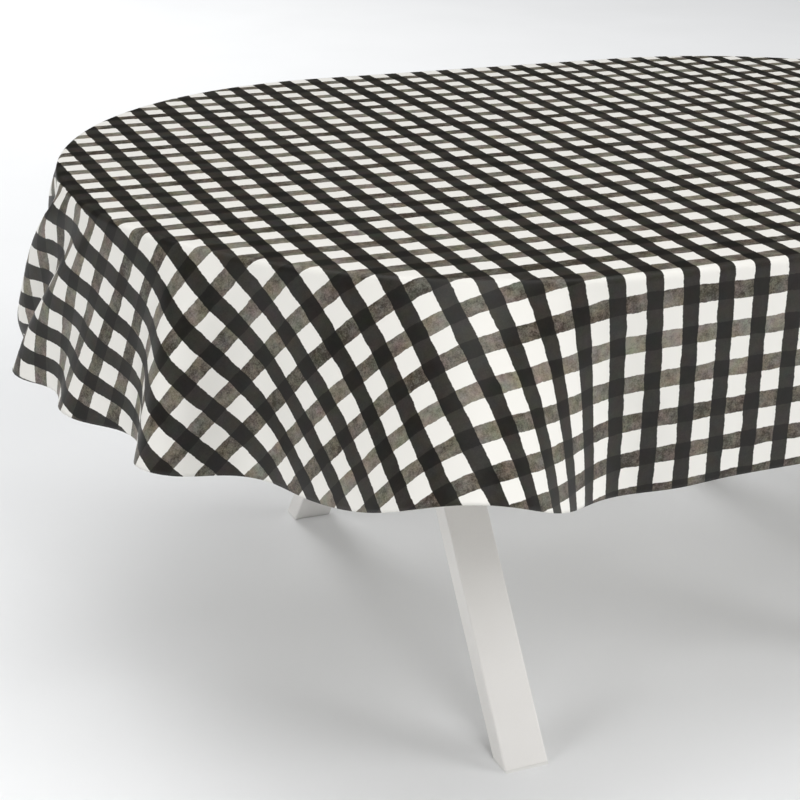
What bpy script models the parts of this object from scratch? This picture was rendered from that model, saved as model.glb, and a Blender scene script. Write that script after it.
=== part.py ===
"""Oval dining table with a draped tablecloth, modelled as its separate pieces.

Metres, +Z up. The origin is on the floor under the middle of the table, +X runs along the
table's length and -Y is its front. The table is an oval board with a glued edge band, carried
by two crossed-leg frames of rectangular steel tube. Each frame has one through leg and one
butted leg in two arms, a mounting plate screwed to the board, and plastic caps as feet. The
tablecloth is one oval sheet that lies on the board and hangs past its edge all round.
"""

from math import cos, exp, pi, radians, sin, tan

import bmesh
import bpy
from mathutils import Matrix, Vector

# Clearances
GAP = 0.0003

# Table
TABLE_LENGTH = 1.730
TABLE_WIDTH = 1.150
TOTAL_HEIGHT = 0.755
BOARD_THICKNESS = 0.025
BAND_THICKNESS = 0.002
BAND_ROUNDING = 0.0007

# Tablecloth: its overhang is measured along the cloth from the board's edge. Each crest is a
# fold that stands out from the end of the table: (station, extra tilt, half width), in degrees,
# with the station counted from the table's long axis.
CLOTH_THICKNESS = 0.0012
CLOTH_OVERHANG = 0.283
SHOULDER_RADIUS = 0.008
SHOULDER_STANDOFF = 0.0065
PLAIN_TILT = 3.0
CRESTS = ((0.0, 7.0, 9.0), (30.0, 14.0, 6.5), (65.0, 42.0, 9.5))

# Crossed-leg frames
FRAME_OFFSET = 0.370
TUBE_WIDTH = 0.067
TUBE_DEPTH = 0.033
TUBE_WALL = 0.002
TUBE_CORNER = 0.003
LEG_LEAN = radians(36.7)
FOOT_HALF_SPREAD = 0.425

# Foot caps
CAP_THICKNESS = 0.003
CAP_PLUG_DEPTH = 0.018
CAP_PLUG_CLEARANCE = 0.0004

# Mounting plates
PLATE_LENGTH = 0.420
PLATE_WIDTH = 0.100
PLATE_THICKNESS = 0.005
PLATE_CORNER = 0.012

# Screws
SCREW_OFFSETS_X = (-0.038, 0.038)
SCREW_OFFSETS_Y = (-0.190, 0.0, 0.190)
SHANK_RADIUS = 0.0025
SHANK_LENGTH = 0.0180
TIP_LENGTH = 0.0030
HEAD_RADIUS = 0.0055
HEAD_HEIGHT = 0.0032
SOCKET_RADIUS = 0.0020
SOCKET_DEPTH = 0.0018
PLATE_HOLE_RADIUS = 0.0030
PILOT_RADIUS = 0.0028

# Facets
ARC_POINTS = 40
SIDE_POINTS = 5
CORNER_POINTS = 4
ROUND_POINTS = 14

# Heights and sizes that follow from the ones above
LEAN_RATIO = tan(LEG_LEAN)
BOARD_TOP = TOTAL_HEIGHT - CLOTH_THICKNESS - GAP
BOARD_BOTTOM = BOARD_TOP - BOARD_THICKNESS
PLATE_TOP = BOARD_BOTTOM - GAP
PLATE_BOTTOM = PLATE_TOP - PLATE_THICKNESS
LEG_TOP = PLATE_BOTTOM - GAP
LEG_BOTTOM = CAP_THICKNESS + GAP
CROSSING_HEIGHT = FOOT_HALF_SPREAD / LEAN_RATIO
END_RADIUS = TABLE_WIDTH / 2
HALF_STRAIGHT = (TABLE_LENGTH - TABLE_WIDTH) / 2
LEVEL_DEPTH = TUBE_DEPTH / cos(LEG_LEAN)
LEVEL_WALL = TUBE_WALL / cos(LEG_LEAN)

PARTS = "tablecloth_on_table"
CUTTERS = "cutters"


# Scene helpers

def clear_scene():
    """Remove every object, so that the script can be run again in the same file."""
    for item in list(bpy.data.objects):
        bpy.data.objects.remove(item, do_unlink=True)


def collection(name):
    """Return the collection of this name, linked to the scene."""
    found = bpy.data.collections.get(name)
    if found is None:
        found = bpy.data.collections.new(name)
        bpy.context.scene.collection.children.link(found)
    return found


def finish(name, colour, roughness, metallic=0.0):
    """Return a Principled material with a plain colour."""
    material = bpy.data.materials.new(name)
    material.use_nodes = True
    shader = material.node_tree.nodes["Principled BSDF"]
    shader.inputs["Base Color"].default_value = (*colour, 1.0)
    shader.inputs["Roughness"].default_value = roughness
    shader.inputs["Metallic"].default_value = metallic
    material.diffuse_color = (*colour, 1.0)
    return material


def add_object(name, mesh, group, material=None, location=(0.0, 0.0, 0.0)):
    """Put a mesh in the scene as a named object, with its own copy of the material."""
    item = bpy.data.objects.new(name, mesh)
    item.location = location
    collection(group).objects.link(item)
    if material is not None:
        own = material.copy()
        own.name = f"{material.name}_{name}"
        mesh.materials.clear()
        mesh.materials.append(own)
    return item


def cutter(name, mesh, location=(0.0, 0.0, 0.0)):
    """Put a cutting shape in the cutters' collection, hidden from renders."""
    item = add_object(name, mesh, CUTTERS, location=location)
    item.hide_render = True
    item.display_type = "WIRE"
    return item


def cut(item, tool, operation="DIFFERENCE"):
    """Add a Boolean modifier that works on an object with another one."""
    modifier = item.modifiers.new(f"{operation.lower()}_{tool.name}", "BOOLEAN")
    modifier.operation = operation
    modifier.solver = "EXACT"
    modifier.object = tool


def soften(item, width, segments=2, angle=radians(40)):
    """Round the sharp edges of an object."""
    modifier = item.modifiers.new("soften", "BEVEL")
    modifier.width = width
    modifier.segments = segments
    modifier.limit_method = "ANGLE"
    modifier.angle_limit = angle


# Outlines: lists of (x, y) points, anticlockwise

def circle(radius, count=ROUND_POINTS, centre=(0.0, 0.0)):
    """Return a circle's points."""
    turns = [2 * pi * k / count for k in range(count)]
    return [(centre[0] + radius * cos(t), centre[1] + radius * sin(t)) for t in turns]


def rounded_rectangle(width, depth, radius):
    """Return a rectangle with round corners."""
    points = []
    corners = ((1, 1, 0.0), (-1, 1, pi / 2), (-1, -1, pi), (1, -1, 3 * pi / 2))
    for side_x, side_y, start in corners:
        centre_x = side_x * (width / 2 - radius)
        centre_y = side_y * (depth / 2 - radius)
        for k in range(CORNER_POINTS + 1):
            turn = start + (pi / 2) * k / CORNER_POINTS
            points.append((centre_x + radius * cos(turn), centre_y + radius * sin(turn)))
    return points


def oval_stations():
    """Return the oval's stations as (spine point, outward direction, angle in the end arc).

    The oval is every point at one distance from a straight spine, so an offset of it is the
    same list with another distance. The angle is None on the straight sides.
    """
    stations = []
    for side in (1, -1):
        for k in range(ARC_POINTS):
            turn = -pi / 2 + pi * k / ARC_POINTS
            outward = Vector((side * cos(turn), side * sin(turn)))
            stations.append((Vector((side * HALF_STRAIGHT, 0.0)), outward, turn))
        for k in range(SIDE_POINTS):
            along = side * HALF_STRAIGHT * (1 - 2 * k / SIDE_POINTS)
            turn = pi / 2 if k == 0 else None
            stations.append((Vector((along, 0.0)), Vector((0.0, side)), turn))
    return stations


def oval(distance):
    """Return the oval at a distance from the spine, with no points within its straight sides."""
    turning = [station for station in oval_stations() if station[2] is not None]
    return [tuple(spine + outward * distance) for spine, outward, _ in turning]


# Solids

def flat_mesh(name, loops, low, high):
    """Return a closed mesh of an outline, with holes for its further loops."""
    curve = bpy.data.curves.new(name, "CURVE")
    curve.dimensions = "2D"
    curve.fill_mode = "BOTH"
    curve.extrude = (high - low) / 2
    for loop in loops:
        spline = curve.splines.new("POLY")
        spline.points.add(len(loop) - 1)
        for point, (x, y) in zip(spline.points, loop):
            point.co = (x, y, 0.0, 1.0)
        spline.use_cyclic_u = True
    outline = bpy.data.objects.new(name, curve)
    collection(CUTTERS).objects.link(outline)
    graph = bpy.context.evaluated_depsgraph_get()
    mesh = bpy.data.meshes.new_from_object(outline.evaluated_get(graph))
    bpy.data.objects.remove(outline)
    work = bmesh.new()
    work.from_mesh(mesh)
    bmesh.ops.remove_doubles(work, verts=work.verts, dist=0.00001)
    bmesh.ops.translate(work, verts=work.verts, vec=(0.0, 0.0, (high + low) / 2))
    bmesh.ops.recalc_face_normals(work, faces=work.faces)
    work.to_mesh(mesh)
    work.free()
    mesh.name = name
    return mesh


def baked_mesh(item):
    """Return an object's evaluated mesh and remove the object."""
    graph = bpy.context.evaluated_depsgraph_get()
    mesh = bpy.data.meshes.new_from_object(item.evaluated_get(graph))
    bpy.data.objects.remove(item)
    return mesh


def lean(mesh, side, pivot_height):
    """Shear an upright mesh along Y, so that it leans towards -side as it rises."""
    shear = Matrix.Identity(4)
    shear[1][2] = -side * LEAN_RATIO
    shear[1][3] = side * LEAN_RATIO * pivot_height
    mesh.transform(shear)
    return mesh


# Pieces

def make_board(material):
    """The oval board, with a blind pilot hole from below for each screw."""
    mesh = flat_mesh("tabletop_board", [oval(END_RADIUS - BAND_THICKNESS)], BOARD_BOTTOM, BOARD_TOP)
    board = add_object("tabletop_board", mesh, PARTS, material)
    top = PLATE_BOTTOM + SHANK_LENGTH + GAP
    loops = []
    for frame_x in (-FRAME_OFFSET, FRAME_OFFSET):
        for x in SCREW_OFFSETS_X:
            loops += [circle(PILOT_RADIUS, centre=(frame_x + x, y)) for y in SCREW_OFFSETS_Y]
    cut(board, cutter("pilot_holes", flat_mesh("pilot_holes", loops, BOARD_BOTTOM - 0.002, top)))
    return board


def make_edge_band(material):
    """The thin band glued round the board's edge, with softened corners."""
    inner = oval(END_RADIUS - BAND_THICKNESS + GAP)
    mesh = flat_mesh("edge_band", [oval(END_RADIUS), inner], BOARD_BOTTOM, BOARD_TOP)
    band = add_object("edge_band", mesh, PARTS, material)
    soften(band, BAND_ROUNDING)
    return band


def tube_loops():
    """Return the outer and inner outlines of a leg's level section."""
    outer = rounded_rectangle(TUBE_WIDTH, LEVEL_DEPTH, TUBE_CORNER)
    inner_size = (TUBE_WIDTH - 2 * TUBE_WALL, LEVEL_DEPTH - 2 * LEVEL_WALL)
    inner = rounded_rectangle(*inner_size, TUBE_CORNER / 2)
    return outer, inner


def make_tube(name, material, frame_x, side, low, high):
    """A leg or arm of rectangular tube, open at both level ends, leaning across the table."""
    mesh = lean(flat_mesh(name, tube_loops(), low, high), side, CROSSING_HEIGHT)
    return add_object(name, mesh, PARTS, material, (frame_x, 0.0, 0.0))


def make_frame(label, frame_x, material):
    """One crossed-leg frame: a through leg from the front foot, and a butted leg in two arms."""
    side = -1
    make_tube(f"{label}_through_leg", material, frame_x, side, LEG_BOTTOM, LEG_TOP)
    room = (TUBE_WIDTH + 0.02, LEVEL_DEPTH + 2 * GAP / cos(LEG_LEAN))
    solid = flat_mesh("through_leg_room", [rounded_rectangle(*room, 0.0001)], 0.30, LEG_TOP + 0.1)
    tool = cutter("through_leg_room", lean(solid, side, CROSSING_HEIGHT), (frame_x, 0.0, 0.0))
    spans = (("lower_arm", LEG_BOTTOM, CROSSING_HEIGHT), ("upper_arm", CROSSING_HEIGHT, LEG_TOP))
    for piece, low, high in spans:
        cut(make_tube(f"{label}_{piece}", material, frame_x, -side, low, high), tool)


def make_plate(label, frame_x, material):
    """The steel plate on top of a frame, with a clearance hole for each screw."""
    loops = [rounded_rectangle(PLATE_WIDTH, PLATE_LENGTH, PLATE_CORNER)]
    for x in SCREW_OFFSETS_X:
        for y in SCREW_OFFSETS_Y:
            loops.append(circle(PLATE_HOLE_RADIUS, centre=(x, y)))
    mesh = flat_mesh("mounting_plate", loops, PLATE_BOTTOM, PLATE_TOP)
    return add_object(f"{label}_mounting_plate", mesh, PARTS, material, (frame_x, 0.0, 0.0))


def make_foot_cap(label, frame_x, side, material):
    """A plastic cap under a leg: a sole the size of the tube, and a plug that fits inside it."""
    name = f"{label}_foot_cap"
    sole_loop = rounded_rectangle(TUBE_WIDTH, LEVEL_DEPTH, TUBE_CORNER)
    sole = lean(flat_mesh(name, [sole_loop], 0.0, CAP_THICKNESS), side, CROSSING_HEIGHT)
    plug_width = TUBE_WIDTH - 2 * (TUBE_WALL + CAP_PLUG_CLEARANCE)
    plug_depth = LEVEL_DEPTH - 2 * (LEVEL_WALL + CAP_PLUG_CLEARANCE)
    plug_loop = rounded_rectangle(plug_width, plug_depth, TUBE_CORNER / 2)
    plug_mesh = flat_mesh("cap_plug", [plug_loop], CAP_THICKNESS / 2, CAP_PLUG_DEPTH)
    place = (frame_x, 0.0, 0.0)
    cap = add_object(name, sole, PARTS, material, place)
    cut(cap, cutter("cap_plug", lean(plug_mesh, side, CROSSING_HEIGHT), place), "UNION")
    return cap


def screw_mesh():
    """A button-head socket screw, head down, with its shoulder at z = 0."""
    head = [(HEAD_RADIUS * cos(t), -HEAD_HEIGHT * sin(t)) for t in (0.0, pi / 8, pi / 4, 3 * pi / 8)]
    profile = [(0.0, SHANK_LENGTH), (SHANK_RADIUS * 0.4, SHANK_LENGTH)]
    profile.append((SHANK_RADIUS, SHANK_LENGTH - TIP_LENGTH))
    profile += [(SHANK_RADIUS, 0.0), *head, (SOCKET_RADIUS * 1.05, -HEAD_HEIGHT), (0.0, -HEAD_HEIGHT)]
    mesh = bpy.data.meshes.new("screw_profile")
    edges = [(k, k + 1) for k in range(len(profile) - 1)]
    mesh.from_pydata([(x, 0.0, z) for x, z in profile], edges, [])
    turned = add_object("screw_profile", mesh, CUTTERS)
    spin = turned.modifiers.new("turn", "SCREW")
    spin.steps = ROUND_POINTS
    spin.render_steps = ROUND_POINTS
    spin.use_merge_vertices = True
    spin.merge_threshold = 0.0001
    socket = flat_mesh("socket", [circle(SOCKET_RADIUS, 6)], -HEAD_HEIGHT - 0.001,
                       SOCKET_DEPTH - HEAD_HEIGHT)
    tool = cutter("screw_socket", socket)
    cut(turned, tool)
    mesh = baked_mesh(turned)
    bpy.data.objects.remove(tool)
    return mesh


def make_screws(label, frame_x, material):
    """The screws that hold one mounting plate to the board."""
    template = screw_mesh()
    number = 0
    for x in SCREW_OFFSETS_X:
        for y in SCREW_OFFSETS_Y:
            number += 1
            place = (frame_x + x, y, PLATE_BOTTOM - GAP)
            screw = add_object(f"{label}_plate_screw_{number}", template.copy(), PARTS, material, place)
            screw.data.shade_smooth()
            screw.data.set_sharp_from_angle(angle=radians(35))


def skirt_tilt(turn):
    """Return how far the cloth leans out from the vertical at a station, in radians."""
    degrees = PLAIN_TILT
    if turn is not None:
        for station, extra, width in CRESTS:
            degrees += extra * exp(-((abs(turn) * 180 / pi - station) / width) ** 2)
    return radians(degrees)


def cloth_section(tilt):
    """Return the cloth's outer section at a tilt, as (distance past the board's edge, height)."""
    start = SHOULDER_STANDOFF - SHOULDER_RADIUS
    bend = pi / 2 - tilt
    section = []
    for share in (0.0, 0.25, 0.5, 0.75, 1.0):
        x = start + SHOULDER_RADIUS * sin(bend * share)
        section.append((x, TOTAL_HEIGHT - SHOULDER_RADIUS * (1 - cos(bend * share))))
    straight = CLOTH_OVERHANG + start - SHOULDER_RADIUS * bend
    bend_x, bend_z = section[-1]
    for share in (0.2, 0.45, 0.72, 1.0):
        length = straight * share
        section.append((bend_x + length * sin(tilt), bend_z - length * cos(tilt)))
    return section


def make_tablecloth(material):
    """The oval cloth: flat on the board, bent over its edge and hanging in folds."""
    stations = oval_stations()
    count = len(stations)
    sections = [cloth_section(skirt_tilt(turn)) for _, _, turn in stations]
    vertices = []
    for ring in zip(*sections):
        for (spine, outward, _), (past_edge, height) in zip(stations, ring):
            point = spine + outward * (END_RADIUS + past_edge)
            vertices.append((point.x, point.y, height))
    rings = len(vertices) // count
    faces = [tuple(range(count))]
    for ring in range(rings - 1):
        for k in range(count):
            a = ring * count + k
            b = ring * count + (k + 1) % count
            faces.append((a, a + count, b + count, b))
    mesh = bpy.data.meshes.new("tablecloth")
    mesh.from_pydata(vertices, [], faces)
    cloth = add_object("tablecloth", mesh, PARTS, material)
    mesh.shade_smooth()
    thicken = cloth.modifiers.new("thickness", "SOLIDIFY")
    thicken.thickness = CLOTH_THICKNESS
    thicken.offset = -1.0
    thicken.use_even_offset = True
    return cloth


def main():
    """Build the whole object."""
    clear_scene()
    oilcloth = finish("oilcloth", (0.42, 0.41, 0.39), 0.35)
    laminate = finish("white_laminate", (0.86, 0.86, 0.85), 0.40)
    plastic = finish("white_plastic", (0.80, 0.80, 0.79), 0.50)
    coated_steel = finish("white_powder_coat", (0.82, 0.81, 0.80), 0.35)
    zinc = finish("zinc_plated_steel", (0.62, 0.62, 0.60), 0.30, metallic=1.0)

    make_tablecloth(oilcloth)
    make_board(laminate)
    make_edge_band(plastic)
    for label, frame_x in (("left", -FRAME_OFFSET), ("right", FRAME_OFFSET)):
        make_frame(label, frame_x, coated_steel)
        make_plate(label, frame_x, coated_steel)
        make_screws(label, frame_x, zinc)
        for end, side in (("front", -1), ("rear", 1)):
            make_foot_cap(f"{label}_{end}", frame_x, side, plastic)


main()
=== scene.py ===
"""Oval dining table under a draped oilcloth: its looks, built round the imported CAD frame.

Metres, +Z up. The origin is on the floor under the middle of the table, +X runs along the
table and -Y is its front.
"""

import logging
from dataclasses import dataclass, field
from enum import Enum
from math import pi, radians
from typing import Mapping, Sequence, Union

import bpy
import numpy as np
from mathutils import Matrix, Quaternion, Vector


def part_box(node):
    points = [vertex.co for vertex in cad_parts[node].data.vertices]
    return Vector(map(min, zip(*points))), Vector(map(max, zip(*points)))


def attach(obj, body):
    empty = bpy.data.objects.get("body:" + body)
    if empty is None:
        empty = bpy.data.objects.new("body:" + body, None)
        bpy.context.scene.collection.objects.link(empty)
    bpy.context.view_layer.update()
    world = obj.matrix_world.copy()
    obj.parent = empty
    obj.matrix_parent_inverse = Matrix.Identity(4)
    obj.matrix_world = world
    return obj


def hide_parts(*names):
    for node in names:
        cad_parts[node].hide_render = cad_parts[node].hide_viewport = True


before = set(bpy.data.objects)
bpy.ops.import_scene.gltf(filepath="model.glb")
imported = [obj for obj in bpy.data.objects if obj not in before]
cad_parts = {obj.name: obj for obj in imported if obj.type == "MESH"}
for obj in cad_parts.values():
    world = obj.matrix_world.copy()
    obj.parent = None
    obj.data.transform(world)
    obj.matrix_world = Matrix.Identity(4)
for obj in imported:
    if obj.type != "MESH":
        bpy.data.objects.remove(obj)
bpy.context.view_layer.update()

LOG = logging.getLogger("table")
CUT_ATTRIBUTE = "cut_position"
Setting = Union[float, Sequence[float], str, bool, bpy.types.NodeSocket]


class Face(Enum):
    """The faces of the oilcloth, in the order of its material slots."""

    PRINT = 0
    BACKING = 1
    CUT_EDGE = 2


class End(Enum):
    """The two ends of the table, by the direction of the end along X."""

    LEFT = -1
    RIGHT = 1

    @property
    def prefix(self) -> str:
        """The first word of the names of this end's CAD nodes."""
        return self.name.lower()


def linear(colour: str) -> tuple[float, float, float, float]:
    """Turn an sRGB hex colour into the linear colour that a shader takes.

    Args:
        colour: six hex digits, red first.

    Returns:
        Linear red, green and blue, and an alpha of 1.
    """
    channels = [int(colour[i : i + 2], 16) / 255 for i in (0, 2, 4)]
    bent = [c / 12.92 if c <= 0.04045 else ((c + 0.055) / 1.055) ** 2.4 for c in channels]
    return (bent[0], bent[1], bent[2], 1.0)


def add_node(
    tree: bpy.types.NodeTree,
    kind: str,
    inputs: Mapping[Union[str, int], Setting],
    **properties: Setting,
) -> bpy.types.Node:
    """Add one node with its settings and links.

    Args:
        tree: the node tree that takes the node.
        kind: the node's type, without the leading "ShaderNode".
        inputs: a value or an output socket for each input, by its name or number.
        properties: the node's own settings.

    Returns:
        The new node.
    """
    node = tree.nodes.new("ShaderNode" + kind)
    for name, value in properties.items():
        setattr(node, name, value)
    for name, value in inputs.items():
        if isinstance(value, bpy.types.NodeSocket):
            tree.links.new(value, node.inputs[name])
        else:
            node.inputs[name].default_value = value
    return node


def new_material(name: str) -> tuple[bpy.types.Material, bpy.types.NodeTree, bpy.types.Node]:
    """Make a material that holds only a Principled shader and its output.

    Args:
        name: the material's name.

    Returns:
        The material, its node tree and its shader.
    """
    material = bpy.data.materials.new(name)
    material.use_nodes = True
    return material, material.node_tree, material.node_tree.nodes["Principled BSDF"]


def cos_sin(angle: np.ndarray) -> np.ndarray:
    """Return unit vectors at the given angles, one a row."""
    return np.c_[np.cos(angle), np.sin(angle)]


# Finishes


@dataclass(frozen=True)
class PrintedOilcloth:
    """PVC film on a textile back, rotogravure printed with a brushed gingham and satin calendered.

    The eye gets two sets of ink bands laid over each other like washes of watercolour, with
    slightly uneven edges and a tone of their own, under one smooth film with a soft gloss.
    Lengths are in metres, and the bands' widths are shares of the repeat.
    """

    repeat: float = 0.04975
    black_width: float = 0.46
    grey_width: float = 0.44
    first_band: float = 0.75
    edge_blur: float = 0.008
    black_seed: float = 3.0
    grey_seed: float = 57.0
    ground: str = "EFEDE7"
    black_ink: str = "302E2A"
    grey_light: str = "8F897C"
    grey_dark: str = "3B352D"
    crossing_share: float = 0.48
    roughness: float = 0.45
    specular: float = 0.25
    waver_run: float = 0.025
    waver: float = 0.0045
    feather_run: float = 0.004
    feather: float = 0.0018
    drift_run: float = 0.045
    blotch_run: float = 0.009
    grain_run: float = 0.0022
    parting_run: float = 0.020
    ripple_run: float = 0.060
    drift_gain: float = 1.1
    blotch_gain: float = 1.3
    grain_gain: float = 1.6
    wash_offset: float = -1.05
    grey_band_gain: float = 0.6
    grey_offset: float = 0.75
    parting: tuple[float, float, float] = (0.5, 0.34, 0.5)
    parting_floor: tuple[float, float, float] = (0.75, 0.83, 0.75)
    black_wash_gain: float = 0.55
    black_floor: float = 0.55
    black_band_gain: float = 0.35
    gloss_below: float = 0.06
    gloss_above: float = 0.08
    ripple_height: float = 0.004
    ripple_strength: float = 0.25
    grain_height: float = 0.0004
    grain_strength: float = 0.12

    def bands(
        self,
        tree: bpy.types.NodeTree,
        along: bpy.types.NodeSocket,
        width: float,
        seed: float,
    ) -> tuple[bpy.types.NodeSocket, bpy.types.NodeSocket]:
        """Draw one set of parallel bands.

        Args:
            tree: the material's node tree.
            along: the cloth's coordinate across the bands, in metres.
            width: a band's width as a share of the repeat.
            seed: a number that gives this set its own tones.

        Returns:
            The bands' mask, and a tone from 0 to 1 that changes from band to band.
        """
        step = add_node(tree, "Math", {0: along, 1: 1 / self.repeat, 2: -self.first_band},
                        operation="MULTIPLY_ADD")
        index = add_node(tree, "Math", {0: step.outputs[0]}, operation="ROUND")
        label = add_node(tree, "Math", {0: index.outputs[0], 1: seed}, operation="ADD")
        tone = add_node(tree, "TexWhiteNoise", {"W": label.outputs[0]}, noise_dimensions="1D")
        offset = add_node(tree, "Math", {0: step.outputs[0], 1: index.outputs[0]},
                          operation="SUBTRACT")
        reach = add_node(tree, "Math", {0: offset.outputs[0]}, operation="ABSOLUTE")
        mask = add_node(
            tree, "MapRange",
            {"Value": reach.outputs[0], "From Min": width / 2 + self.edge_blur,
             "From Max": width / 2 - self.edge_blur},
            interpolation_type="SMOOTHSTEP",
        )
        return mask.outputs[0], tone.outputs["Value"]

    def make(self) -> bpy.types.Material:
        """Make the printed face's material.

        Returns:
            The material, with its nodes.
        """
        material, tree, shader = new_material("printed_oilcloth")
        cut = add_node(tree, "Attribute", {}, attribute_name=CUT_ATTRIBUTE)
        place = cut.outputs["Vector"]
        # the brush wavers by about 0.7 mm either way and its edge feathers by 0.3 mm; a noise
        # centres on a half, so half of each reach is taken off again
        slow = add_node(tree, "TexNoise", {"Vector": place, "Scale": 1 / self.waver_run,
                                           "Detail": 1.0})
        quick = add_node(tree, "TexNoise", {"Vector": place, "Scale": 1 / self.feather_run,
                                            "Detail": 2.0})
        moved = add_node(tree, "VectorMath", {0: slow.outputs["Color"], 1: (self.waver,) * 3,
                                              2: place}, operation="MULTIPLY_ADD")
        edged = add_node(tree, "VectorMath", {0: quick.outputs["Color"],
                                              1: (self.feather,) * 3, 2: moved.outputs[0]},
                         operation="MULTIPLY_ADD")
        half = (self.waver + self.feather) / 2
        centred = add_node(tree, "VectorMath", {0: edged.outputs[0], 1: (half, half, 0.0)},
                           operation="SUBTRACT")
        axes = add_node(tree, "SeparateXYZ", {0: centred.outputs[0]})
        black_mask, black_tone = self.bands(tree, axes.outputs["X"], self.black_width,
                                            self.black_seed)
        grey_mask, grey_tone = self.bands(tree, axes.outputs["Y"], self.grey_width,
                                          self.grey_seed)
        # washes drift over 45 mm, pool in blotches of 9 mm and keep a pigment grain of 2.2 mm,
        # about twice the real grain so that it carries across a room
        drift = add_node(tree, "TexNoise", {"Vector": place, "Scale": 1 / self.drift_run,
                                            "Detail": 1.0})
        blotch = add_node(tree, "TexNoise", {"Vector": place, "Scale": 1 / self.blotch_run,
                                             "Detail": 4.0, "Roughness": 0.55})
        grain = add_node(tree, "TexNoise", {"Vector": place, "Scale": 1 / self.grain_run,
                                            "Detail": 3.0, "Roughness": 0.75})
        slow_wash = add_node(tree, "Math", {0: drift.outputs[0], 1: self.drift_gain,
                                            2: self.wash_offset}, operation="MULTIPLY_ADD")
        wash = add_node(tree, "Math", {0: blotch.outputs[0], 1: self.blotch_gain,
                                       2: slow_wash.outputs[0]}, operation="MULTIPLY_ADD")
        speck = add_node(tree, "Math", {0: grain.outputs[0], 1: self.grain_gain,
                                        2: wash.outputs[0]}, operation="MULTIPLY_ADD")
        banded = add_node(tree, "Math", {0: grey_tone, 1: self.grey_band_gain,
                                         2: speck.outputs[0]}, operation="MULTIPLY_ADD")
        level = add_node(tree, "Math", {0: banded.outputs[0], 1: self.grey_offset},
                         operation="SUBTRACT", use_clamp=True)
        plain_grey = add_node(tree, "Mix", {0: level.outputs[0], 6: linear(self.grey_dark),
                                            7: linear(self.grey_light)}, data_type="RGBA")
        # the inks part a little as they dry, towards green here and towards plum there
        part = add_node(tree, "TexNoise", {"Vector": place, "Scale": 1 / self.parting_run,
                                           "Detail": 2.0})
        hue = add_node(tree, "VectorMath", {0: part.outputs["Color"], 1: self.parting,
                                            2: self.parting_floor}, operation="MULTIPLY_ADD")
        grey = add_node(tree, "VectorMath", {0: plain_grey.outputs[2], 1: hue.outputs[0]},
                        operation="MULTIPLY")
        washed = add_node(tree, "Mix", {0: grey_mask, 6: linear(self.ground),
                                        7: grey.outputs[0]}, data_type="RGBA")
        dark_level = add_node(tree, "Math", {0: speck.outputs[0], 1: self.black_wash_gain,
                                             2: self.black_floor}, operation="MULTIPLY_ADD")
        dark_tone = add_node(tree, "Math", {0: black_tone, 1: self.black_band_gain,
                                            2: dark_level.outputs[0]},
                             operation="MULTIPLY_ADD")
        tinted = add_node(tree, "VectorMath", {0: linear(self.black_ink)[:3],
                                               1: hue.outputs[0]}, operation="MULTIPLY")
        black = add_node(tree, "VectorMath", {0: tinted.outputs[0],
                                              "Scale": dark_tone.outputs[0]},
                         operation="SCALE")
        deeper = add_node(tree, "MapRange", {"Value": grey_mask, "To Min": 1.0,
                                             "To Max": self.crossing_share})
        crossed = add_node(tree, "VectorMath", {0: black.outputs[0],
                                                "Scale": deeper.outputs[0]},
                           operation="SCALE")
        colour = add_node(tree, "Mix", {0: black_mask, 6: washed.outputs[2],
                                        7: crossed.outputs[0]}, data_type="RGBA")
        tree.links.new(colour.outputs[2], shader.inputs["Base Color"])
        # the film's gloss varies a little with the ink under it
        satin = add_node(tree, "MapRange", {"Value": blotch.outputs[0],
                                            "To Min": self.roughness - self.gloss_below,
                                            "To Max": self.roughness + self.gloss_above})
        tree.links.new(satin.outputs[0], shader.inputs["Roughness"])
        shader.inputs["Specular IOR Level"].default_value = self.specular
        # the calendered film shows the pigment's grain and a slow ripple
        ripple = add_node(tree, "TexNoise", {"Vector": place, "Scale": 1 / self.ripple_run,
                                             "Detail": 1.0})
        rippled = add_node(tree, "Bump", {"Height": ripple.outputs[0],
                                          "Strength": self.ripple_strength,
                                          "Distance": self.ripple_height})
        grained = add_node(tree, "Bump", {"Height": grain.outputs[0],
                                          "Strength": self.grain_strength,
                                          "Distance": self.grain_height,
                                          "Normal": rippled.outputs[0]})
        tree.links.new(grained.outputs[0], shader.inputs["Normal"])
        return material


@dataclass(frozen=True)
class FleeceBacking:
    """Needle-punched viscose fleece, bonded to the film's back.

    The eye gets a dull off-white felt with short crossing fibres.
    """

    colour: str = "E6E4DE"
    shadow: str = "CFCCC4"
    fibre: float = 0.0012
    nap_height: float = 0.0004
    nap_strength: float = 0.6
    roughness: float = 0.95
    sheen: float = 0.25

    def make(self) -> bpy.types.Material:
        """Make the backing's material.

        Returns:
            The material, with its nodes.
        """
        material, tree, shader = new_material("fleece_backing")
        place = add_node(tree, "Attribute", {}, attribute_name=CUT_ATTRIBUTE).outputs["Vector"]
        fibres = add_node(tree, "TexNoise", {"Vector": place, "Scale": 1 / self.fibre,
                                             "Detail": 4.0, "Distortion": 2.0})
        colour = add_node(tree, "Mix", {0: fibres.outputs[0], 6: linear(self.shadow),
                                        7: linear(self.colour)}, data_type="RGBA")
        tree.links.new(colour.outputs[2], shader.inputs["Base Color"])
        nap = add_node(tree, "Bump", {"Height": fibres.outputs[0],
                                      "Strength": self.nap_strength,
                                      "Distance": self.nap_height})
        tree.links.new(nap.outputs[0], shader.inputs["Normal"])
        shader.inputs["Roughness"].default_value = self.roughness
        shader.inputs["Sheen Weight"].default_value = self.sheen
        return material


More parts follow.
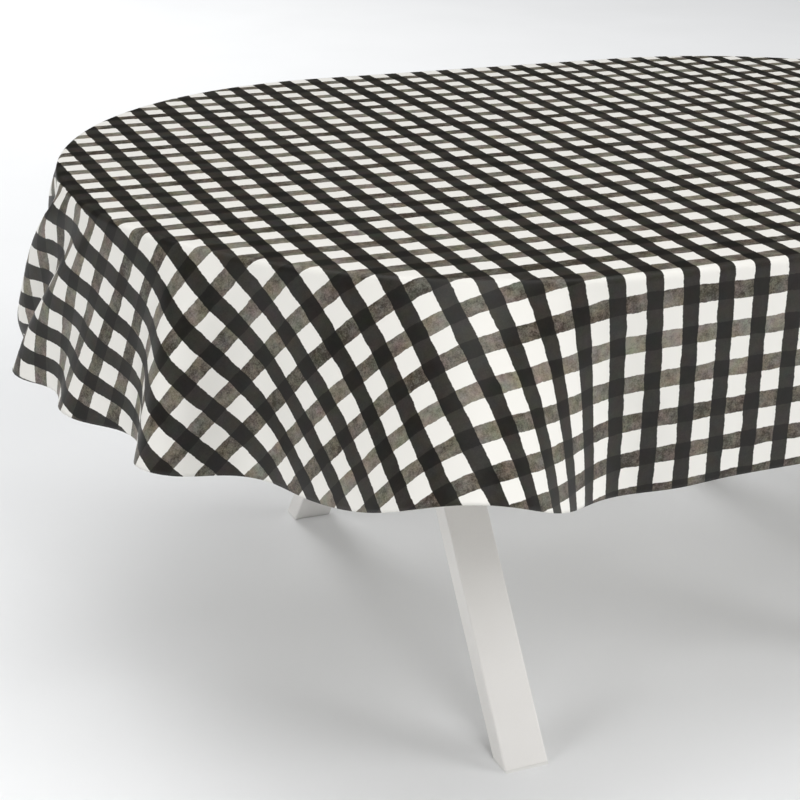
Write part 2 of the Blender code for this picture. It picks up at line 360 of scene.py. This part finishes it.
@dataclass(frozen=True)
class CutFilmEdge:
    """The knife-cut edge of the film and its fleece.

    The eye gets a thin pale line with a slightly fibrous break-up.
    """

    colour: str = "DEDBD4"
    shadow: str = "B9B5AD"
    fibre: float = 0.0015
    roughness: float = 0.7

    def make(self) -> bpy.types.Material:
        """Make the cut edge's material.

        Returns:
            The material, with its nodes.
        """
        material, tree, shader = new_material("cut_film_edge")
        place = add_node(tree, "Attribute", {}, attribute_name=CUT_ATTRIBUTE).outputs["Vector"]
        fibres = add_node(tree, "TexNoise", {"Vector": place, "Scale": 1 / self.fibre,
                                             "Detail": 3.0})
        colour = add_node(tree, "Mix", {0: fibres.outputs[0], 6: linear(self.shadow),
                                        7: linear(self.colour)}, data_type="RGBA")
        tree.links.new(colour.outputs[2], shader.inputs["Base Color"])
        shader.inputs["Roughness"].default_value = self.roughness
        return material


@dataclass(frozen=True)
class SurfaceFinish:
    """A rigid part's finish: one colour, broken up by a second, with a fine surface texture.

    The grain is a length in metres along each axis, so that an extruded surface can have a
    direction. The cloud is the length over which the tint comes and goes.
    """

    name: str
    colour: str
    tint: str
    grain: tuple[float, float, float]
    roughness: float
    relief: float
    relief_strength: float = 0.5
    cloud: float = 0.09
    roughness_spread: float = 0.08
    metallic: float = 0.0

    def make(self) -> bpy.types.Material:
        """Make the finish's material.

        Returns:
            The material, with its nodes.
        """
        material, tree, shader = new_material(self.name)
        place = add_node(tree, "TexCoord", {}).outputs["Object"]
        scaled = add_node(tree, "VectorMath", {0: place,
                                               1: [1 / length for length in self.grain]},
                          operation="MULTIPLY")
        skin = add_node(tree, "TexNoise", {"Vector": scaled.outputs[0], "Scale": 1.0,
                                           "Detail": 4.0, "Roughness": 0.6})
        cloud = add_node(tree, "TexNoise", {"Vector": place, "Scale": 1 / self.cloud,
                                            "Detail": 2.0})
        blend = add_node(tree, "Math", {0: cloud.outputs[0], 1: skin.outputs[0]},
                         operation="MULTIPLY")
        colour = add_node(tree, "Mix", {0: blend.outputs[0], 6: linear(self.colour),
                                        7: linear(self.tint)}, data_type="RGBA")
        tree.links.new(colour.outputs[2], shader.inputs["Base Color"])
        rough = add_node(tree, "MapRange",
                         {"Value": skin.outputs[0],
                          "To Min": self.roughness - self.roughness_spread,
                          "To Max": self.roughness + self.roughness_spread})
        tree.links.new(rough.outputs[0], shader.inputs["Roughness"])
        bump = add_node(tree, "Bump", {"Height": skin.outputs[0],
                                       "Strength": self.relief_strength,
                                       "Distance": self.relief})
        tree.links.new(bump.outputs[0], shader.inputs["Normal"])
        shader.inputs["Metallic"].default_value = self.metallic
        return material


# Polyester powder coat, sprayed and baked on welded tube: warm white, with a fine orange peel
# of about 2 mm that breaks up the highlights.
POWDER_COATED_STEEL = SurfaceFinish(
    "powder_coated_steel", "F2F0ED", "EAE7E3", (0.002, 0.002, 0.002), 0.42, 0.00012)
# Injection-moulded polyethylene: the feet, a touch whiter and duller than the coat.
MOULDED_POLYETHYLENE = SurfaceFinish(
    "moulded_polyethylene", "E9E8E5", "DDDBD7", (0.0009, 0.0009, 0.0009), 0.55, 0.00008)
# Extruded ABS edge band: smooth along its run.
EXTRUDED_ABS = SurfaceFinish(
    "extruded_abs", "E8E7E4", "DEDCD8", (0.03, 0.03, 0.0008), 0.40, 0.00005)
# Chipboard faced with white melamine paper: a shallow pressed pearl grain.
MELAMINE_FACED_BOARD = SurfaceFinish(
    "melamine_faced_board", "E7E5E1", "DAD7D2", (0.0015, 0.0015, 0.0015), 0.48, 0.00010)
# Zinc-plated steel screws: bright bluish grey with a passivated haze.
ZINC_PLATED_STEEL = SurfaceFinish(
    "zinc_plated_steel", "C3C6CA", "A9ADB2", (0.0008, 0.0008, 0.0008), 0.32, 0.00003,
    metallic=1.0)


@dataclass(frozen=True)
class PaintedFloor:
    """Matt emulsion on a studio floor: an even pale surface with a faint roller mottle."""

    colour: str = "F1F2F3"
    mottle: str = "ECEDEE"
    roller: float = 0.4
    roughness: float = 0.75
    specular: float = 0.25

    def make(self) -> bpy.types.Material:
        """Make the floor's material.

        Returns:
            The material, with its nodes.
        """
        material, tree, shader = new_material("painted_floor")
        place = add_node(tree, "TexCoord", {}).outputs["Object"]
        roller = add_node(tree, "TexNoise", {"Vector": place, "Scale": 1 / self.roller,
                                             "Detail": 2.0})
        colour = add_node(tree, "Mix", {0: roller.outputs[0], 6: linear(self.colour),
                                        7: linear(self.mottle)}, data_type="RGBA")
        tree.links.new(colour.outputs[2], shader.inputs["Base Color"])
        shader.inputs["Roughness"].default_value = self.roughness
        shader.inputs["Specular IOR Level"].default_value = self.specular
        return material


# Sub-assemblies


@dataclass(frozen=True)
class Fold:
    """One fold of the hanging cloth round an end of the table.

    The station and the widths are degrees round the end, from -90 at the back long side
    through 0 at the end's middle to 90 at the front long side. The lean is how far the
    fold's ridge stands out from the vertical, in degrees.
    """

    station: float
    lean: float
    before: float
    after: float

    def at(self, angle: np.ndarray) -> np.ndarray:
        """Work out how far this fold leans the cloth.

        Args:
            angle: the stations' angles round the end, in degrees.

        Returns:
            The fold's own lean at each angle, in degrees.
        """
        away = angle - self.station
        width = np.where(away < 0, self.before, self.after)
        return self.lean * np.exp(-((away / width) ** 2))


@dataclass(frozen=True)
class FilmSolver:
    """A position-based simulation of coated cloth: it hardly stretches and resists bending.

    Each step moves the free points by their weight, then pulls every thread and diagonal of
    the grid back to its length in the cut cloth, and spreads sharp bends.
    """

    steps: int = 500
    hold: float = 0.01
    weight: float = 0.00002
    keep_speed: float = 0.9
    thread_share: float = 1.0
    diagonal_share: float = 0.6
    bend_share: float = 0.05
    anchor_rings: int = 3

    def threads(
        self, flat: np.ndarray, free: np.ndarray
    ) -> list[tuple[np.ndarray, np.ndarray, np.ndarray, np.ndarray, np.ndarray]]:
        """List the grid's threads in sets whose members share no point.

        Args:
            flat: the cut cloth's points, rings by stations by two.
            free: 1 for each point that may move and 0 for the others.

        Returns:
            For each set, its first and second points, its lengths in the cut cloth and how
            much of a correction each of the two points takes.
        """
        rings, stations = flat.shape[:2]
        grid = np.arange(rings * stations).reshape(rings, stations)
        onward, backward = np.roll(grid, -1, axis=1), np.roll(grid, 1, axis=1)
        cut, loose = flat.reshape(-1, 2), free.ravel()
        sets = []
        for start in (0, 1):
            for first, second, share in (
                (grid[:, start::2], onward[:, start::2], self.thread_share),
                (grid[start:-1:2], grid[start + 1::2], self.thread_share),
                (grid[start:-1:2], onward[start + 1::2], self.diagonal_share),
                (grid[start:-1:2], backward[start + 1::2], self.diagonal_share),
            ):
                a, b = first.ravel(), second.ravel()
                moving = loose[a] + loose[b] > 0
                a, b = a[moving], b[moving]
                length = np.linalg.norm(cut[a] - cut[b], axis=1)
                total = loose[a] + loose[b]
                sets.append((a, b, length, (share * loose[a] / total)[:, None],
                             (share * loose[b] / total)[:, None]))
        return sets

    def unbend(self, grid: np.ndarray) -> np.ndarray:
        """Return how far each point moves to spread the bends round it.

        Args:
            grid: the cloth's points, rings by stations by three.

        Returns:
            One move for each point.
        """
        along = np.roll(grid, -1, axis=1) - np.roll(grid, 1, axis=1)
        normal = np.cross(along, np.gradient(grid, axis=0))
        normal /= np.linalg.norm(normal, axis=2, keepdims=True)
        bend = ((np.roll(grid, -1, axis=1) + np.roll(grid, 1, axis=1) - 2 * grid)
                * normal).sum(2)
        fall = np.zeros_like(bend)
        fall[1:-1] = ((grid[2:] + grid[:-2] - 2 * grid[1:-1]) * normal[1:-1]).sum(2)
        spread = np.roll(bend, -1, axis=1) + np.roll(bend, 1, axis=1) - 2 * bend
        spread[1:-1] += fall[2:] + fall[:-2] - 2 * fall[1:-1]
        spread[-1] += fall[-2]
        return -self.bend_share * spread[:, :, None] * normal

    def settle(self, seed: np.ndarray, flat: np.ndarray, free_rings: np.ndarray) -> np.ndarray:
        """Let the cloth relax from its first drape.

        Args:
            seed: the points of the first drape, rings by stations by three.
            flat: the same points in the cut cloth, rings by stations by two.
            free_rings: true for each ring that may move.

        Returns:
            The settled points.
        """
        first = int(np.argmax(free_rings)) - self.anchor_rings
        flat = flat[first:]
        shape = seed[first:].shape
        free = np.repeat(free_rings[first:].astype(float)[:, None], shape[1], axis=1)
        loose = free.reshape(-1, 1)
        sets = self.threads(flat, free)
        rest = seed[first:].reshape(-1, 3)
        points, speed = rest.copy(), np.zeros_like(rest)
        for _ in range(self.steps):
            before = points.copy()
            speed = self.keep_speed * speed
            speed[:, 2] -= self.weight
            points += speed * loose
            points += self.hold * loose * (rest - points)
            for a, b, length, share_a, share_b in sets:
                gap = points[b] - points[a]
                now = np.sqrt((gap * gap).sum(1))
                pull = ((now - length) / now)[:, None] * gap
                points[a] += share_a * pull
                points[b] -= share_b * pull
            points += self.unbend(points.reshape(shape)).reshape(-1, 3) * loose
            speed = points - before
        settled = seed.copy()
        settled[first:] = points.reshape(shape)
        return settled


@dataclass
class Tablecloth:
    """The oval oilcloth, cut from one width and draped over the board.

    Its mesh is a set of oval rings round the board's spine, the line between the centres of
    the two round ends. Each ring has a point at every station. Lengths are in metres, and
    leans and swings in degrees.
    """

    overhang: float = 0.283
    thickness: float = 0.0012
    shoulder_radius: float = 0.008
    shoulder_inset: float = 0.0015
    flat_margin: float = 0.012
    plain_lean: float = -0.1
    straight_lean: float = 1.0
    swing: float = -5.9
    swing_width: float = 21.4
    swing_middle: float = -2.0
    swing_rise: float = 0.7
    slack: float = 0.45
    taut_lean: float = 50.0
    side_fade: float = 0.07
    end_points: int = 132
    side_points: int = 36
    inner_ring: float = 0.04
    inner_rings: int = 10
    inner_gap: float = 0.115
    graded_reach: float = 0.070
    finest_ring: float = 0.004
    coarsest_ring: float = 0.026
    ring_growth: float = 1.35
    shoulder_ring: float = 0.0036
    shoulder_rings: int = 5
    skirt_gap: float = 0.005
    skirt_rings: int = 30
    bend_pieces: int = 6
    held_past_edge: float = 0.017
    film: FilmSolver = FilmSolver()
    left_folds: Sequence[Fold] = (
        Fold(-66.0, 38.0, 9.0, 10.0),
        Fold(-32.2, 10.0, 4.0, 7.7),
        Fold(-3.8, 14.6, 11.9, 23.1),
        Fold(32.6, 23.8, 6.2, 3.0),
        Fold(47.4, 2.1, 7.4, 5.7),
        Fold(68.2, 55.2, 14.6, 13.5),
        Fold(81.1, -16.2, 11.4, 5.9),
    )
    right_folds: Sequence[Fold] = (
        Fold(-63.0, 40.0, 11.0, 9.0),
        Fold(-27.0, 12.0, 7.0, 8.0),
        Fold(3.0, 8.0, 12.0, 12.0),
        Fold(34.0, 15.0, 7.0, 7.0),
        Fold(67.0, 40.0, 10.0, 9.0),
    )
    end_radius: float = field(init=False)
    half_straight: float = field(init=False)
    top: float = field(init=False)
    spine: np.ndarray = field(init=False)
    outward: np.ndarray = field(init=False)
    angle: np.ndarray = field(init=False)
    end: np.ndarray = field(init=False)
    on_arc: np.ndarray = field(init=False)

    def __post_init__(self) -> None:
        """Read the board's outline from the frame and lay out the stations round it."""
        low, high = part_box("edge_band")
        self.end_radius = (high.y - low.y) / 2
        self.half_straight = (high.x - low.x) / 2 - self.end_radius
        self.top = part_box("tablecloth")[1].z
        self.lay_out_stations()

    @property
    def edge(self) -> float:
        """How far from the spine the cloth starts to bend over the board's edge."""
        return self.end_radius - self.shoulder_inset

    def lay_out_stations(self) -> None:
        """Place the stations: a point on the board's spine and an outward direction for each."""
        arc = (np.arange(self.end_points) + 0.5) / self.end_points * pi - pi / 2
        run = ((np.arange(self.side_points) + 0.5) / self.side_points * 2 - 1)
        run = run * self.half_straight
        flat, ones = np.zeros(self.side_points), np.ones(self.side_points)
        centre = np.full(self.end_points, self.half_straight)
        right = np.c_[centre, cos_sin(arc)]
        back = np.c_[-run, flat, ones]
        left = np.c_[-centre, -cos_sin(arc)]
        front = np.c_[run, flat, -ones]
        table = np.concatenate([right, back, left, front])
        self.spine = np.c_[table[:, 0], np.zeros(len(table))]
        self.outward = table[:, 1:]
        self.end = np.where(table[:, 0] > 0, End.RIGHT.value, End.LEFT.value)
        self.angle = np.degrees(np.arctan2(-self.outward[:, 1], np.abs(self.outward[:, 0])))
        self.on_arc = np.isclose(np.abs(table[:, 0]), self.half_straight)

    def distances(self) -> np.ndarray:
        """Space the rings, which get finer towards the board's edge, where the cloth bends.

        Returns:
            Each ring's distance from the spine along the flat cloth.
        """
        inner = np.linspace(self.inner_ring, self.edge - self.inner_gap, self.inner_rings)
        steps = [0.0]
        while steps[-1] < self.graded_reach:
            step = self.finest_ring * self.ring_growth ** (len(steps) - 1)
            steps.append(steps[-1] + min(self.coarsest_ring, step))
        near = self.edge - self.finest_ring - np.array(steps[::-1])
        bend = self.edge + self.shoulder_ring * np.arange(self.shoulder_rings)
        skirt = np.linspace(bend[-1] + self.skirt_gap, self.end_radius + self.overhang,
                            self.skirt_rings)
        return np.concatenate([inner, near, bend, skirt])

    def lean(self) -> np.ndarray:
        """Add up the folds at every station, fading out along the straight sides.

        Returns:
            The cloth's lean at every station, in radians.
        """
        total = np.full(len(self.angle), self.plain_lean)
        for side, folds in ((End.LEFT, self.left_folds), (End.RIGHT, self.right_folds)):
            here = self.end == side.value
            for fold in folds:
                total += np.where(here, fold.at(self.angle), 0.0)
        past = np.where(self.on_arc, 0.0,
                        self.half_straight - np.abs(self.spine[:, 0]))
        fade = np.exp(-((past / self.side_fade) ** 2))
        total = np.where(self.on_arc, total,
                         self.straight_lean + (total - self.straight_lean) * fade)
        return np.radians(total)

    def flat_points(self) -> np.ndarray:
        """Return the cut cloth's points, lying flat: rings by stations by two."""
        return self.spine[None] + self.outward[None] * self.distances()[:, None, None]

    def draped_points(self) -> np.ndarray:
        """Hang the cloth over the board: bend it at the edge, lean it and swing its left end.

        Returns:
            The cloth's points, rings by stations by three.
        """
        lean = self.lean()
        reach = self.distances()
        bend = pi / 2 - lean
        out = np.zeros((len(reach), len(lean)))
        drop = np.zeros_like(out)
        last = reach[0]
        out[0] = last
        for ring in range(1, len(reach)):
            length = (reach[ring] - reach[ring - 1]) / self.bend_pieces
            for _ in range(self.bend_pieces):
                past = max(0.0, last + length / 2 - self.edge)
                curl = np.minimum(past / self.shoulder_radius, bend)
                hang = max(0.0, past - self.shoulder_radius * pi / 2) / self.overhang
                slack = self.slack * hang * (1 - lean / radians(self.taut_lean))
                tilt = np.where(curl < bend, curl, bend + lean * slack)
                out[ring] += length * np.cos(tilt)
                drop[ring] += length * np.sin(tilt)
                last += length
            out[ring] += out[ring - 1]
            drop[ring] += drop[ring - 1]
        share = np.clip((reach - self.edge) / self.overhang, 0.0, 1.0)[:, None]
        away = (self.angle - self.swing_middle) / self.swing_width
        swing = np.where((self.end == End.LEFT.value) & self.on_arc,
                         self.swing * np.exp(-away ** 2), 0.0)
        # a positive swing carries the left end towards the front, further the lower it hangs
        turn = np.radians(swing)[None] * share ** self.swing_rise
        ox, oy = self.outward[:, 0][None], self.outward[:, 1][None]
        dx = ox * np.cos(turn) - oy * np.sin(turn)
        dy = ox * np.sin(turn) + oy * np.cos(turn)
        x = self.spine[:, 0][None] + dx * out
        y = self.spine[:, 1][None] + dy * out
        return np.stack([x, y, self.top - drop], axis=2)

    def build_mesh(self) -> bpy.types.Object:
        """Make the cloth's single-layer mesh in its draped shape, with its flat shape kept.

        Returns:
            The cloth, with the cut's coordinates in an attribute.
        """
        draped, flat = self.draped_points(), self.flat_points()
        loose = self.distances() > self.edge + self.held_past_edge
        draped = self.film.settle(draped, flat, loose)
        rings, count = draped.shape[:2]
        vertices = draped.reshape(-1, 3)
        faces: list[Sequence[int]] = []
        for ring in range(rings - 1):
            for i in range(count):
                j = (i + 1) % count
                a, b = ring * count, (ring + 1) * count
                faces.append((a + i, b + i, b + j, a + j))
        faces.extend(self.middle_faces(count))
        mesh = bpy.data.meshes.new("oilcloth")
        mesh.from_pydata(vertices.tolist(), [], faces)
        mesh.update()
        cloth = bpy.data.objects.new("oilcloth", mesh)
        bpy.context.scene.collection.objects.link(cloth)
        level = np.c_[flat.reshape(-1, 2), np.full(rings * count, self.top)]
        attribute = mesh.attributes.new(CUT_ATTRIBUTE, "FLOAT_VECTOR", "POINT")
        attribute.data.foreach_set("vector", level.astype(np.float32).ravel())
        return cloth

    def middle_faces(self, count: int) -> list[Sequence[int]]:
        """Close the innermost ring with strips that run across the spine.

        Args:
            count: the number of stations in a ring.

        Returns:
            Faces between stations that face each other across the table.
        """
        ends, sides = self.end_points, self.side_points
        faces: list[Sequence[int]] = []
        for i in range(ends // 2 - 1):
            faces.append((i, i + 1, ends - 2 - i, ends - 1 - i))
            a = ends + sides + i
            b = 2 * ends + sides - 1 - i
            faces.append((a, a + 1, b - 1, b))
        back = [ends - 1, *range(ends, ends + sides), ends + sides]
        front = [0, *range(count - 1, 2 * ends + sides - 1, -1), 2 * ends + sides - 1]
        for i in range(len(back) - 1):
            faces.append((front[i], back[i], back[i + 1], front[i + 1]))
        return faces

    def assemble(self) -> None:
        """Build, settle, thicken and dress the cloth, attach it to its body and hide the frame's
        tablecloth part.
        """
        cloth = self.build_mesh()
        self.thicken(cloth)
        self.declare(cloth)
        LOG.info("%s: %s, %d points", cloth.name, cloth.data.materials[0].name,
                 len(cloth.data.vertices))

    def thicken(self, cloth: bpy.types.Object) -> None:
        """Smooth the cloth, give it its thickness and keep the result as its mesh.

        Args:
            cloth: the single-layer cloth.
        """
        finer = cloth.modifiers.new("finer", "SUBSURF")
        finer.levels = finer.render_levels = 1
        shell = cloth.modifiers.new("shell", "SOLIDIFY")
        shell.thickness = self.thickness
        shell.offset = -1.0
        shell.use_even_offset = False
        shell.material_offset = Face.BACKING.value
        shell.material_offset_rim = Face.CUT_EDGE.value
        for finish in (PrintedOilcloth(), FleeceBacking(), CutFilmEdge()):
            cloth.data.materials.append(finish.make())
        graph = bpy.context.evaluated_depsgraph_get()
        result = bpy.data.meshes.new_from_object(cloth.evaluated_get(graph))
        cloth.modifiers.clear()
        cloth.data = result
        for polygon in result.polygons:
            polygon.use_smooth = True
        self.lay_print(result)

    def lay_print(self, mesh: bpy.types.Mesh) -> None:
        """Give the points that lie flat on the board their own place in the cut cloth.

        Args:
            mesh: the finished cloth.
        """
        count = len(mesh.vertices)
        place, cut = np.zeros(count * 3, np.float32), np.zeros(count * 3, np.float32)
        mesh.vertices.foreach_get("co", place)
        attribute = mesh.attributes[CUT_ATTRIBUTE]
        attribute.data.foreach_get("vector", cut)
        place, cut = place.reshape(-1, 3), cut.reshape(-1, 3)
        past = np.maximum(np.abs(place[:, 0]) - self.half_straight, 0.0)
        level = np.hypot(past, place[:, 1]) < self.end_radius - self.flat_margin
        level &= place[:, 2] > self.top - 2 * self.thickness
        cut[level, :2] = place[level, :2]
        attribute.data.foreach_set("vector", cut.ravel())

    def declare(self, cloth: bpy.types.Object) -> None:
        """Attach the cloth to its body and hide the frame's own tablecloth part.

        Args:
            cloth: the finished cloth.
        """
        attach(cloth, "cloth")
        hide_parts("tablecloth")


@dataclass
class Tabletop:
    """The melamine-faced board and the band round its edge."""

    board: SurfaceFinish = MELAMINE_FACED_BOARD
    band: SurfaceFinish = EXTRUDED_ABS

    def assemble(self) -> None:
        """Give both pieces their finish."""
        put_on("tabletop_board", self.board.make())
        put_on("edge_band", self.band.make())


@dataclass
class CrossedLegFrame:
    """One welded frame of crossed legs with its plate, screws and foot caps."""

    end: End
    steel: Sequence[str] = ("through_leg", "lower_arm", "upper_arm", "mounting_plate")
    caps: Sequence[str] = ("front_foot_cap", "rear_foot_cap")
    screws: int = 6

    def assemble(self) -> None:
        """Give every piece of the frame its finish."""
        coat, plastic = POWDER_COATED_STEEL.make(), MOULDED_POLYETHYLENE.make()
        zinc = ZINC_PLATED_STEEL.make()
        screws = [f"plate_screw_{number}" for number in range(1, self.screws + 1)]
        for names, material in ((self.steel, coat), (self.caps, plastic), (screws, zinc)):
            for name in names:
                put_on(f"{self.end.prefix}_{name}", material)


def put_on(node: str, material: bpy.types.Material) -> None:
    """Give a CAD node a material and report it.

    Args:
        node: the CAD node's name.
        material: what its only slot takes.
    """
    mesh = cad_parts[node].data
    mesh.materials.clear()
    mesh.materials.append(material)
    LOG.info("%s: %s", node, material.name)


@dataclass(frozen=True)
class Softbox:
    """A large square soft light, which gloss doesn't mirror."""

    name: str
    place: tuple[float, float, float]
    aim: tuple[float, float, float]
    side: float
    watts: float

    def hang(self) -> None:
        """Put the light in the scene."""
        light = bpy.data.lights.new(self.name, "AREA")
        light.energy = self.watts
        light.shape = "SQUARE"
        light.size = self.side
        lamp = bpy.data.objects.new(self.name, light)
        lamp.location = self.place
        toward = Vector(self.aim) - Vector(self.place)
        lamp.rotation_euler = toward.to_track_quat("-Z", "Y").to_euler()
        lamp.visible_glossy = False
        bpy.context.scene.collection.objects.link(lamp)


@dataclass
class Studio:
    """The pale floor, the soft lights and the camera, which aren't part of the object."""

    floor_radius: float = 6.5
    floor_corners: int = 128
    horizon_glow: float = 0.01
    ceiling_glow: float = 2.62
    sky_low: float = 0.80
    sky_high: float = 1.0
    backdrop: float = 0.95
    camera_place: tuple[float, float, float] = (-1.3588, -2.2364, 1.3780)
    camera_aim: tuple[float, float, float] = (-0.2444, 0.3086, 0.2461)
    camera_roll: float = 1.21
    lens: float = 78.13
    sensor_width: float = 36.0
    boxes: Sequence[Softbox] = (
        Softbox("back_softbox", (-1.0, 6.0, 4.5), (0.0, 2.5, 0.0), 4.0, 205.0),
        Softbox("front_softbox", (-0.6, -3.3, 3.2), (-0.5, -2.2, 0.0), 1.8, 54.0),
        Softbox("right_softbox", (6.5, -3.9, 2.6), (0.5, -0.5, 0.2), 3.9, 313.0),
        Softbox("left_softbox", (-7.8, -1.3, 3.2), (0.0, 0.0, 0.4), 3.9, 225.0),
    )

    def assemble(self) -> None:
        """Set up the floor, the lights and the camera."""
        self.lay_floor()
        self.light()
        self.aim_camera()

    def lay_floor(self) -> None:
        """Make the floor: one wide disc under the table."""
        turn = np.arange(self.floor_corners) * 2 * pi / self.floor_corners
        rim = np.c_[cos_sin(turn) * self.floor_radius, np.zeros(self.floor_corners)]
        mesh = bpy.data.meshes.new("floor")
        mesh.from_pydata(rim.tolist(), [], [tuple(range(self.floor_corners))])
        mesh.materials.append(PaintedFloor().make())
        floor = bpy.data.objects.new("floor", mesh)
        bpy.context.scene.collection.objects.link(floor)

    def light(self) -> None:
        """Fill the room with even light and hang the softboxes."""
        world = bpy.data.worlds.new("studio")
        world.use_nodes = True
        tree = world.node_tree
        place = add_node(tree, "TexCoord", {}).outputs["Generated"]
        height = add_node(tree, "SeparateXYZ", {0: place}).outputs["Z"]
        glow = add_node(tree, "MapRange", {"Value": height, "From Min": self.sky_low,
                                           "From Max": self.sky_high,
                                           "To Min": self.horizon_glow,
                                           "To Max": self.ceiling_glow},
                        interpolation_type="SMOOTHSTEP")
        # past the floor's rim the eye meets a plain white backdrop, which lights nothing
        rays = add_node(tree, "LightPath", {})
        shown = add_node(tree, "Mix", {0: rays.outputs["Is Camera Ray"], 2: glow.outputs[0],
                                       3: self.backdrop})
        tree.links.new(shown.outputs[0], tree.nodes["Background"].inputs["Strength"])
        tree.nodes["Background"].inputs["Color"].default_value = (1.0, 1.0, 1.0, 1.0)
        bpy.context.scene.world = world
        for box in self.boxes:
            box.hang()
        bpy.context.scene.view_settings.view_transform = "Standard"

    def aim_camera(self) -> None:
        """Look down at the left end from in front of it, with a slightly long lens."""
        lens = bpy.data.cameras.new("camera")
        lens.lens = self.lens
        lens.sensor_width = self.sensor_width
        camera = bpy.data.objects.new("camera", lens)
        camera.location = self.camera_place
        toward = Vector(self.camera_aim) - Vector(self.camera_place)
        level = toward.to_track_quat("-Z", "Y")
        roll = Quaternion((0.0, 0.0, 1.0), radians(self.camera_roll))
        camera.rotation_mode = "QUATERNION"
        camera.rotation_quaternion = level @ roll
        bpy.context.scene.collection.objects.link(camera)
        bpy.context.scene.camera = camera


def main() -> None:
    """Build every sub-assembly in order and report its pieces."""
    logging.basicConfig(level=logging.INFO, format="%(message)s")
    Studio().assemble()
    Tabletop().assemble()
    for end in End:
        CrossedLegFrame(end).assemble()
    Tablecloth().assemble()


if __name__ == "__main__":
    main()
